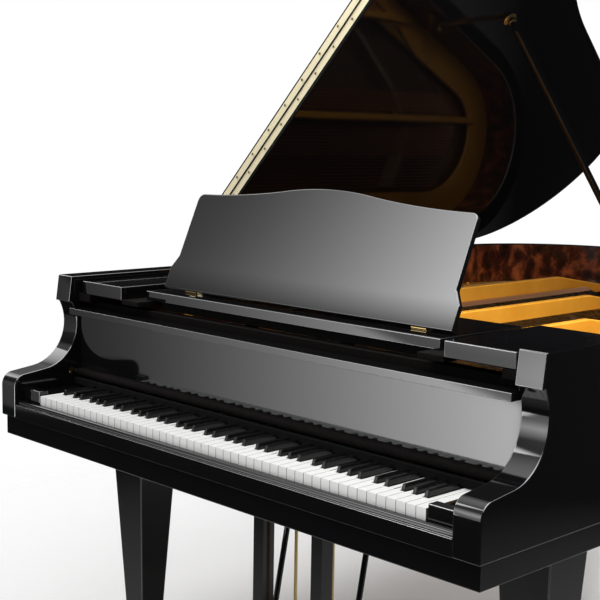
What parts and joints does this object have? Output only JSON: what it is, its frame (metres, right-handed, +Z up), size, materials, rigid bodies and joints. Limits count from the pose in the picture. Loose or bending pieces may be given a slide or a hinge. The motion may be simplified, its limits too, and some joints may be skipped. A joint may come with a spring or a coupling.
{
  "type": "grand piano",
  "caption": "Polished black grand piano with a propped lid, folding front flap, music desk, fallboard, keys, pedals and caster legs that move.",
  "frame": {"origin": "on the floor, under the middle of the open instrument's bounding box", "axes": "+X along the keyboard towards the treble, +Y from the keyboard towards the tail, +Z up"},
  "size_m": [1.5458, 2.1965, 2.1294],
  "materials": {
    "black_polish": "polished black lacquer",
    "burl_veneer": "figured red-brown veneer, polished",
    "maple": "bare hardwood",
    "spruce": "varnished spruce",
    "gold_plate": "gold bronze lacquer",
    "steel": "bright steel",
    "felt": "pressed felt on wood",
    "ivory_white": "white key tops on wood",
    "ebony_black": "black key tops on wood",
    "brass": "polished brass"
  },
  "bodies": {
    "case": {"outer_rim": "black_polish", "inner_rim": "maple", "rim_veneer": "burl_veneer", "keybed": "black_polish", "key_slip": "black_polish", "key_blocks": "black_polish", "nameboard": "black_polish", "pinblock": "maple", "soundboard": "spruce", "plate": "gold_plate", "tuning_pins": "steel", "strings": "steel", "plate_fittings": "steel", "fallboard_pivots": "brass", "desk_side_blocks": "black_polish", "lid_hinge_brackets": "brass", "prop_bracket": "brass", "legs": "black_polish", "leg_ferrules": "brass", "pedal_box": "black_polish", "lyre": "black_polish"},
    "lid": {"main_lid": "black_polish", "lid_hinge_leaves": "brass", "flap_hinge_lid_leaf": "brass"},
    "flap": {"front_flap": "black_polish", "flap_hinge_flap_leaf": "brass"},
    "prop": {"lid_prop": "black_polish"},
    "fallboard": {"fallboard": "black_polish"},
    "shelf": {"music_shelf": "black_polish", "desk_hinges": "brass"},
    "desk": {"music_desk": "black_polish"},
    "strut": {"desk_strut": "brass"},
    "action": {"key_frame": "maple", "action_frame": "maple", "hammers": "felt"},
    "dampers": {"dampers": "felt"},
    "keys_c": {"keys_c": "ivory_white"},
    "keys_c_sharp": {"keys_c_sharp": "ebony_black"},
    "keys_d": {"keys_d": "ivory_white"},
    "keys_d_sharp": {"keys_d_sharp": "ebony_black"},
    "keys_e": {"keys_e": "ivory_white"},
    "keys_f": {"keys_f": "ivory_white"},
    "keys_f_sharp": {"keys_f_sharp": "ebony_black"},
    "keys_g": {"keys_g": "ivory_white"},
    "keys_g_sharp": {"keys_g_sharp": "ebony_black"},
    "keys_a": {"keys_a": "ivory_white"},
    "keys_a_sharp": {"keys_a_sharp": "ebony_black"},
    "keys_b": {"keys_b": "ivory_white"},
    "left_pedal": {"left_pedal": "brass"},
    "left_pedal_rod": {"left_pedal_rod": "brass"},
    "middle_pedal": {"middle_pedal": "brass"},
    "middle_pedal_rod": {"middle_pedal_rod": "brass"},
    "right_pedal": {"right_pedal": "brass"},
    "right_pedal_rod": {"right_pedal_rod": "brass"},
    "left_caster": {"left_caster_fork": "brass"},
    "left_wheel": {"left_caster_wheel": "brass"},
    "right_caster": {"right_caster_fork": "brass"},
    "right_wheel": {"right_caster_wheel": "brass"},
    "rear_caster": {"rear_caster_fork": "brass"},
    "rear_wheel": {"rear_caster_wheel": "brass"}
  },
  "joints": [
    {"name": "lid_open", "type": "hinge", "parent": "case", "child": "lid", "pos_m": [-0.7375, 0.0855, 1.0025], "axis": [0, -1, 0], "range_deg": [-46, 0]},
    {"name": "flap_fold", "type": "hinge", "parent": "lid", "child": "flap", "pos_m": [-0.2304, -0.4765, 1.5686], "axis": [-0.6947, 0, -0.7193], "range_deg": [-180, 0]},
    {"name": "prop_fold", "type": "hinge", "parent": "case", "child": "prop", "pos_m": [0.0101, 0.6289, 0.98], "axis": [0.7973, 0.4239, 0.4298], "range_deg": [0, 59.5]},
    {"name": "fallboard_turn", "type": "hinge", "parent": "case", "child": "fallboard", "pos_m": [0.022, -0.9115, 0.756], "axis": [-1, 0, 0], "range_deg": [-86.5, 0]},
    {"name": "shelf_slide", "type": "slide", "parent": "case", "child": "shelf", "axis": [0, 1, 0], "range_m": [0, 0.06]},
    {"name": "desk_tilt", "type": "hinge", "parent": "shelf", "child": "desk", "pos_m": [0.022, -0.8095, 0.9867], "axis": [1, 0, 0], "range_deg": [-66.7, 0]},
    {"name": "strut_fold", "type": "hinge", "parent": "desk", "child": "strut", "pos_m": [0.022, -0.74723, 1.1232], "axis": [1, 0, 0], "range_deg": [-47.2, 0]},
    {"name": "action_shift", "type": "slide", "parent": "case", "child": "action", "axis": [1, 0, 0], "range_m": [0, 0.0031]},
    {"name": "damper_lift", "type": "slide", "parent": "case", "child": "dampers", "axis": [0, 0, 1], "range_m": [0, 0.008]},
    {"name": "keys_c_press", "type": "hinge", "parent": "action", "child": "keys_c", "pos_m": [0.022, -0.8595, 0.702], "axis": [1, 0, 0], "range_deg": [0, 2.6], "stiffness_Nm_per_rad": 3, "springref_deg": -5.73},
    {"name": "keys_c_sharp_press", "type": "hinge", "parent": "action", "child": "keys_c_sharp", "pos_m": [0.022, -0.8595, 0.702], "axis": [1, 0, 0], "range_deg": [0, 2.6], "stiffness_Nm_per_rad": 3, "springref_deg": -5.73},
    {"name": "keys_d_press", "type": "hinge", "parent": "action", "child": "keys_d", "pos_m": [0.022, -0.8595, 0.702], "axis": [1, 0, 0], "range_deg": [0, 2.6], "stiffness_Nm_per_rad": 3, "springref_deg": -5.73},
    {"name": "keys_d_sharp_press", "type": "hinge", "parent": "action", "child": "keys_d_sharp", "pos_m": [0.022, -0.8595, 0.702], "axis": [1, 0, 0], "range_deg": [0, 2.6], "stiffness_Nm_per_rad": 3, "springref_deg": -5.73},
    {"name": "keys_e_press", "type": "hinge", "parent": "action", "child": "keys_e", "pos_m": [0.022, -0.8595, 0.702], "axis": [1, 0, 0], "range_deg": [0, 2.6], "stiffness_Nm_per_rad": 3, "springref_deg": -5.73},
    {"name": "keys_f_press", "type": "hinge", "parent": "action", "child": "keys_f", "pos_m": [0.022, -0.8595, 0.702], "axis": [1, 0, 0], "range_deg": [0, 2.6], "stiffness_Nm_per_rad": 3, "springref_deg": -5.73},
    {"name": "keys_f_sharp_press", "type": "hinge", "parent": "action", "child": "keys_f_sharp", "pos_m": [0.022, -0.8595, 0.702], "axis": [1, 0, 0], "range_deg": [0, 2.6], "stiffness_Nm_per_rad": 3, "springref_deg": -5.73},
    {"name": "keys_g_press", "type": "hinge", "parent": "action", "child": "keys_g", "pos_m": [0.022, -0.8595, 0.702], "axis": [1, 0, 0], "range_deg": [0, 2.6], "stiffness_Nm_per_rad": 3, "springref_deg": -5.73},
    {"name": "keys_g_sharp_press", "type": "hinge", "parent": "action", "child": "keys_g_sharp", "pos_m": [0.022, -0.8595, 0.702], "axis": [1, 0, 0], "range_deg": [0, 2.6], "stiffness_Nm_per_rad": 3, "springref_deg": -5.73},
    {"name": "keys_a_press", "type": "hinge", "parent": "action", "child": "keys_a", "pos_m": [0.022, -0.8595, 0.702], "axis": [1, 0, 0], "range_deg": [0, 2.6], "stiffness_Nm_per_rad": 3, "springref_deg": -5.73},
    {"name": "keys_a_sharp_press", "type": "hinge", "parent": "action", "child": "keys_a_sharp", "pos_m": [0.022, -0.8595, 0.702], "axis": [1, 0, 0], "range_deg": [0, 2.6], "stiffness_Nm_per_rad": 3, "springref_deg": -5.73},
    {"name": "keys_b_press", "type": "hinge", "parent": "action", "child": "keys_b", "pos_m": [0.022, -0.8595, 0.702], "axis": [1, 0, 0], "range_deg": [0, 2.6], "stiffness_Nm_per_rad": 3, "springref_deg": -5.73},
    {"name": "left_pedal_press", "type": "hinge", "parent": "case", "child": "left_pedal", "pos_m": [-0.038, -0.7845, 0.107], "axis": [1, 0, 0], "range_deg": [0, 6.3], "stiffness_Nm_per_rad": 30, "springref_deg": -11.46},
    {"name": "left_rod_lift", "type": "slide", "parent": "case", "child": "left_pedal_rod", "axis": [0, 0, 1], "range_m": [0, 0.0063]},
    {"name": "middle_pedal_press", "type": "hinge", "parent": "case", "child": "middle_pedal", "pos_m": [0.022, -0.7845, 0.107], "axis": [1, 0, 0], "range_deg": [0, 6.3], "stiffness_Nm_per_rad": 30, "springref_deg": -11.46},
    {"name": "middle_rod_lift", "type": "slide", "parent": "case", "child": "middle_pedal_rod", "axis": [0, 0, 1], "range_m": [0, 0.0063]},
    {"name": "right_pedal_press", "type": "hinge", "parent": "case", "child": "right_pedal", "pos_m": [0.082, -0.7845, 0.107], "axis": [1, 0, 0], "range_deg": [0, 6.3], "stiffness_Nm_per_rad": 30, "springref_deg": -11.46},
    {"name": "right_rod_lift", "type": "slide", "parent": "case", "child": "right_pedal_rod", "axis": [0, 0, 1], "range_m": [0, 0.0063]},
    {"name": "left_caster_swivel", "type": "hinge", "parent": "case", "child": "left_caster", "pos_m": [-0.608, -0.7435, 0.08], "axis": [0, 0, 1], "continuous": true},
    {"name": "left_wheel_roll", "type": "hinge", "parent": "left_caster", "child": "left_wheel", "pos_m": [-0.608, -0.7335, 0.026], "axis": [1, 0, 0], "continuous": true},
    {"name": "right_caster_swivel", "type": "hinge", "parent": "case", "child": "right_caster", "pos_m": [0.652, -0.7435, 0.08], "axis": [0, 0, 1], "continuous": true},
    {"name": "right_wheel_roll", "type": "hinge", "parent": "right_caster", "child": "right_wheel", "pos_m": [0.652, -0.7335, 0.026], "axis": [1, 0, 0], "continuous": true},
    {"name": "rear_caster_swivel", "type": "hinge", "parent": "case", "child": "rear_caster", "pos_m": [-0.308, 0.7155, 0.08], "axis": [0, 0, 1], "continuous": true},
    {"name": "rear_wheel_roll", "type": "hinge", "parent": "rear_caster", "child": "rear_wheel", "pos_m": [-0.308, 0.7255, 0.026], "axis": [1, 0, 0], "continuous": true}
  ],
  "couplings": [
    {"joint": "prop_fold", "follows": "lid_open", "ratio": -1.2889},
    {"joint": "strut_fold", "follows": "desk_tilt", "ratio": 0.70465},
    {"joint": "action_shift", "follows": "left_pedal_press", "m_per_rad": 0.0273},
    {"joint": "damper_lift", "follows": "right_pedal_press", "m_per_rad": 0.07},
    {"joint": "left_rod_lift", "follows": "left_pedal_press", "m_per_rad": 0.056},
    {"joint": "middle_rod_lift", "follows": "middle_pedal_press", "m_per_rad": 0.056},
    {"joint": "right_rod_lift", "follows": "right_pedal_press", "m_per_rad": 0.056}
  ]
}
